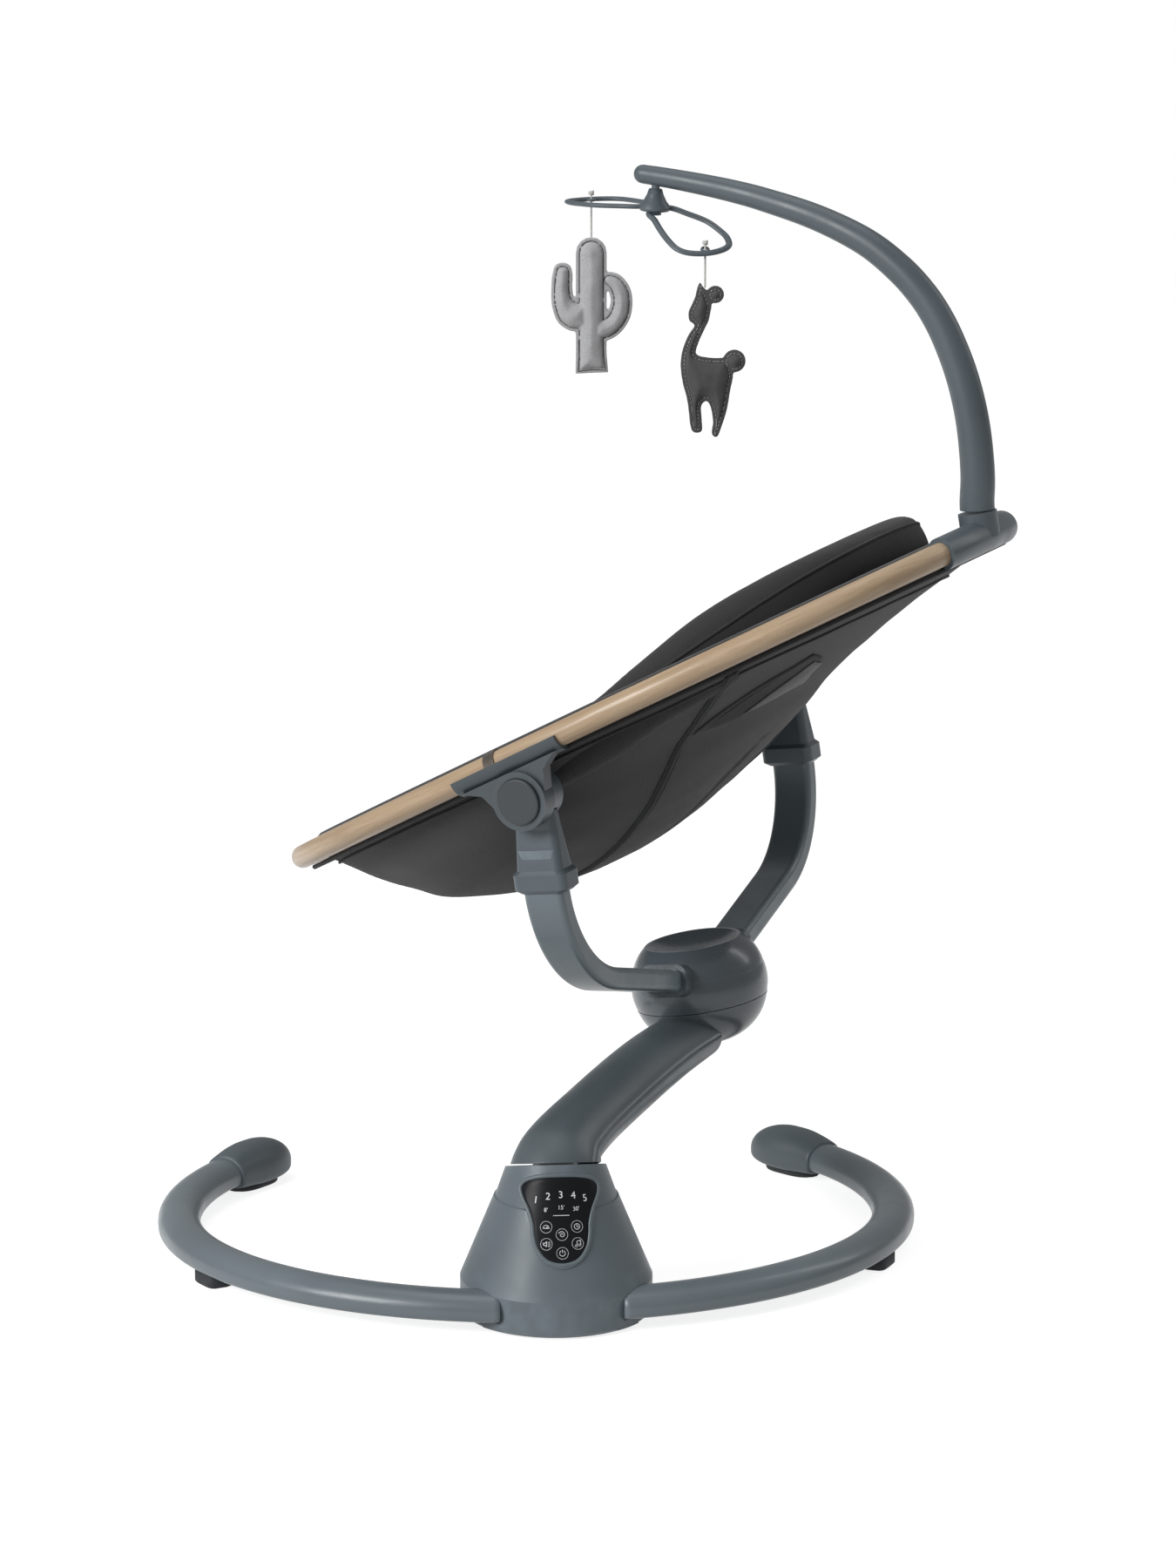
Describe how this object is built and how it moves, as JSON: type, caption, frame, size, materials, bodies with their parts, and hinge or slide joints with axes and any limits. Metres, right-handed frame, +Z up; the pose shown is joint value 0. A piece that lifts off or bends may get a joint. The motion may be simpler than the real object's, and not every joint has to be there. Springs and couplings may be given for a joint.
{
  "type": "baby swing",
  "caption": "Powered infant swing: round floor ring, tower with drive, tilted arm, turning yoke, oval fabric cradle, toy bar with hanging felt toys.",
  "frame": {"origin": "on the floor under the tower's axis, at the middle rubber foot", "axes": "+Z up, -Y to the front where the control panel is, +X to the right seen from the front"},
  "size_m": [0.6825, 0.591, 0.8537],
  "materials": {
    "base_plastic": "as moulded",
    "dark_plastic": "as moulded",
    "hub_plastic": "as moulded",
    "panel": "as moulded",
    "print_film": "as moulded",
    "rubber": "plain",
    "tube_paint": "plain",
    "bar_plastic": "as moulded",
    "steel": "plain",
    "gear_plastic": "as moulded",
    "wood": "plain",
    "sling_fabric": "plain",
    "pad_fabric": "plain",
    "bolster_fabric": "plain",
    "webbing": "plain",
    "light_felt": "plain",
    "dark_felt": "plain",
    "string": "plain"
  },
  "bodies": {
    "base": {"base_plate": "dark_plastic", "tower_shell": "base_plastic", "control_panel": "panel", "touch_film": "print_film", "base_tube_left": "base_plastic", "base_tube_right": "base_plastic", "end_cap_left": "base_plastic", "end_cap_right": "base_plastic", "ring_feet": "rubber", "base_feet": "rubber", "base_screws": "steel", "speaker": "dark_plastic", "power_inlet": "dark_plastic", "drive_chassis": "dark_plastic", "lower_bearing": "steel", "upper_bearing": "steel", "gear_motor": "steel"},
    "motor_pinion": {"drive_pinion": "gear_plastic"},
    "swing_arm": {"spindle": "steel", "sector_gear": "gear_plastic", "arm_lower_shell": "base_plastic", "arm_upper_shell": "base_plastic", "arm_tube": "steel", "hub_bowl": "hub_plastic", "turn_post": "steel"},
    "seat_yoke": {"hub_lower_shell": "hub_plastic", "hub_upper_shell": "hub_plastic", "yoke_tube_near": "tube_paint", "yoke_tube_far": "tube_paint", "yoke_head_near": "bar_plastic", "yoke_head_far": "bar_plastic"},
    "cradle": {"foot_rail": "wood", "head_rail": "wood", "rail_rings": "steel", "seat_bracket_near": "bar_plastic", "seat_bracket_far": "bar_plastic", "pivot_pins": "steel", "seat_sling": "sling_fabric", "seat_pad": "pad_fabric", "head_bolster": "bolster_fabric", "crotch_strap": "webbing", "waist_straps": "webbing", "harness_buckle": "dark_plastic", "toy_bar_mount": "bar_plastic"},
    "near_recline_button": {"recline_button_near": "hub_plastic"},
    "far_recline_button": {"recline_button_far": "hub_plastic"},
    "buckle_release": {"buckle_button": "bar_plastic"},
    "toy_bar_arm": {"toy_bar": "bar_plastic", "hanger_pin": "dark_plastic"},
    "mobile": {"mobile_hanger": "bar_plastic"},
    "hanging_cactus": {"cactus_string": "string", "cactus_toy": "light_felt"},
    "hanging_llama": {"llama_string": "string", "llama_toy": "dark_felt"}
  },
  "joints": [
    {"name": "swing", "type": "hinge", "parent": "base", "child": "swing_arm", "pos_m": [0, 0.0043, 0.114], "axis": [0, 0.2823, 0.9593], "range_deg": [-2, 70]},
    {"name": "pinion_spin", "type": "hinge", "parent": "base", "child": "motor_pinion", "pos_m": [0.03625, -0.01264, 0.05644], "axis": [0, 0.2823, 0.9593], "range_deg": [-222, 8.29]},
    {"name": "seat_turn", "type": "hinge", "parent": "swing_arm", "child": "seat_yoke", "pos_m": [0.13497, 0.23567, 0.19672], "axis": [-0.1587, 0.0468, 0.9862], "range_deg": [-90, 90]},
    {"name": "recline", "type": "hinge", "parent": "seat_yoke", "child": "cradle", "pos_m": [0.10611, 0.2428, 0.40087], "axis": [0.5392, 0.8409, 0.0468], "range_deg": [-4, 10]},
    {"name": "near_recline_press", "type": "slide", "parent": "cradle", "child": "near_recline_button", "axis": [0.5392, 0.8409, 0.0468], "range_m": [0, 0.0025], "stiffness_N_per_m": 500},
    {"name": "far_recline_press", "type": "slide", "parent": "cradle", "child": "far_recline_button", "axis": [-0.5392, -0.8409, -0.0468], "range_m": [0, 0.0025], "stiffness_N_per_m": 500},
    {"name": "buckle_press", "type": "slide", "parent": "cradle", "child": "buckle_release", "axis": [-0.7361, 0.4976, -0.4588], "range_m": [0, 0.002], "stiffness_N_per_m": 400},
    {"name": "toy_bar_swivel", "type": "hinge", "parent": "cradle", "child": "toy_bar_arm", "pos_m": [0.32989, 0.08826, 0.59898], "axis": [-0.1587, 0.0468, 0.9862], "range_deg": [-60, 60]},
    {"name": "mobile_spin", "type": "hinge", "parent": "toy_bar_arm", "child": "mobile", "pos_m": [0.09581, 0.22598, 0.82158], "axis": [0.0388, -0.0803, 0.996], "continuous": true},
    {"name": "cactus_sway", "type": "hinge", "parent": "mobile", "child": "hanging_cactus", "pos_m": [0.05941, 0.26555, 0.80764], "axis": [0.9963, -0.0854, 0], "range_deg": [-15, 15]},
    {"name": "llama_sway", "type": "hinge", "parent": "mobile", "child": "hanging_llama", "pos_m": [0.13077, 0.18937, 0.79872], "axis": [0.9963, -0.0854, 0], "range_deg": [-15, 15]}
  ],
  "couplings": [
    {"joint": "pinion_spin", "follows": "swing", "ratio": -3.1429}
  ]
}
